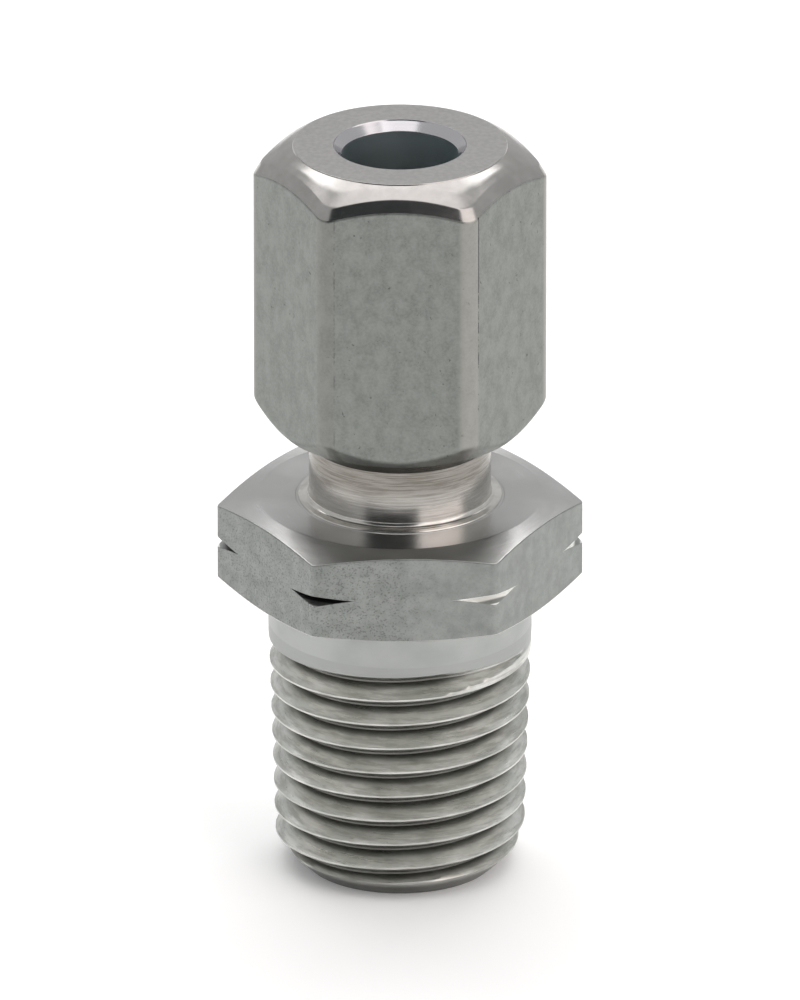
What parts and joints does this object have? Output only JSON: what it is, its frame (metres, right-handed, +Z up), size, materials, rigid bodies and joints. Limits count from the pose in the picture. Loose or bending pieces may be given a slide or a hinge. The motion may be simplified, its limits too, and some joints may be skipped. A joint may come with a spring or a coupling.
{
  "type": "progressive ring fitting",
  "caption": "Straight tube coupling: taper pipe thread below a hexagon, with a cutting ring and a union nut that clamp a small tube or probe in the top.",
  "frame": {"origin": "centre of the pipe thread's end face, where the fitting stands", "axes": "+Z up the common axis towards the union nut's tube mouth; a flat of the body's hexagon faces -Y"},
  "size_m": [0.0196, 0.017, 0.0412],
  "materials": {
    "body_steel": "turned and satin",
    "ring_steel": "turned",
    "nut_steel": "satin"
  },
  "bodies": {
    "body": {"fitting_body": "body_steel"},
    "ring_carrier": {"cutting_ring": "ring_steel"},
    "nut": {"union_nut": "nut_steel"}
  },
  "joints": [
    {"name": "nut_travel", "type": "slide", "parent": "body", "child": "ring_carrier", "axis": [0, 0, 1], "range_m": [0, 0.00525]},
    {"name": "nut_turn", "type": "hinge", "parent": "ring_carrier", "child": "nut", "pos_m": [0, 0, 0.03], "axis": [0, 0, 1], "range_deg": [0, 1260]}
  ],
  "couplings": [
    {"joint": "nut_turn", "follows": "nut_travel", "rad_per_m": 4188.8}
  ]
}
